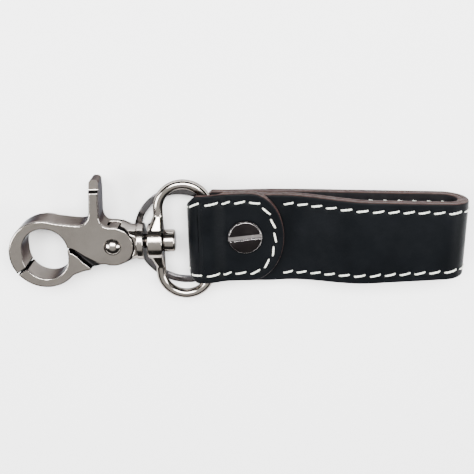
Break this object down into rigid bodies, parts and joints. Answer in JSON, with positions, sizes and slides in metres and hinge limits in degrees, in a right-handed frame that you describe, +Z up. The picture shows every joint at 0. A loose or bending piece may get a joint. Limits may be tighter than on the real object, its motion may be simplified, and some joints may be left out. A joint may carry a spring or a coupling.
{
  "type": "wristlet keychain",
  "caption": "Stitched black leather hand-loop keychain with a clamp screw, split ring, swivel eye and gunmetal trigger snap.",
  "frame": {"origin": "middle of the part's plan, on the surface that it lies on", "axes": "+X along the strap from the snap to the loop's end, +Y to the thumb tab's side, +Z up, out of the flap and the screw's head"},
  "size_m": [0.1292, 0.0369, 0.0139],
  "materials": {
    "leather_black": "smooth satin, grain side out",
    "leather_lining": "matt, inner side",
    "thread": "waxed off-white thread",
    "screw_metal": "dark gunmetal",
    "ring_metal": "polished dark nickel",
    "gunmetal": "polished gunmetal",
    "spring_steel": "drawn wire"
  },
  "bodies": {
    "strap": {"strap_outer_ply": "leather_black", "strap_lining_ply": "leather_lining", "edge_stitching": "thread", "flap_stitching": "thread", "clamp_screw": "screw_metal", "screw_post": "screw_metal"},
    "key_ring": {"split_ring": "ring_metal"},
    "eye": {"swivel_eye": "gunmetal"},
    "snap": {"snap_body": "gunmetal", "swivel_stud": "gunmetal", "pivot_rivet": "gunmetal", "trigger_spring": "spring_steel"},
    "trigger": {"trigger_jaw": "gunmetal"}
  },
  "joints": [
    {"name": "ring_turn", "type": "hinge", "parent": "strap", "child": "key_ring", "pos_m": [-0.0156, -0.0006, 0.00341], "axis": [-0.1822, 0, 0.9833], "continuous": true},
    {"name": "eye_swing", "type": "hinge", "parent": "strap", "child": "eye", "pos_m": [-0.0078, -0.0006, 0.00715], "axis": [0, 1, 0], "range_deg": [0, 50]},
    {"name": "snap_swivel", "type": "hinge", "parent": "eye", "child": "snap", "pos_m": [-0.023, -0.0006, 0.00715], "axis": [1, 0, 0], "continuous": true},
    {"name": "trigger_open", "type": "hinge", "parent": "snap", "child": "trigger", "pos_m": [-0.03485, -0.0008, 0.00715], "axis": [0, 0, -1], "range_deg": [0, 25], "stiffness_Nm_per_rad": 0.05, "springref_deg": -34.38}
  ]
}
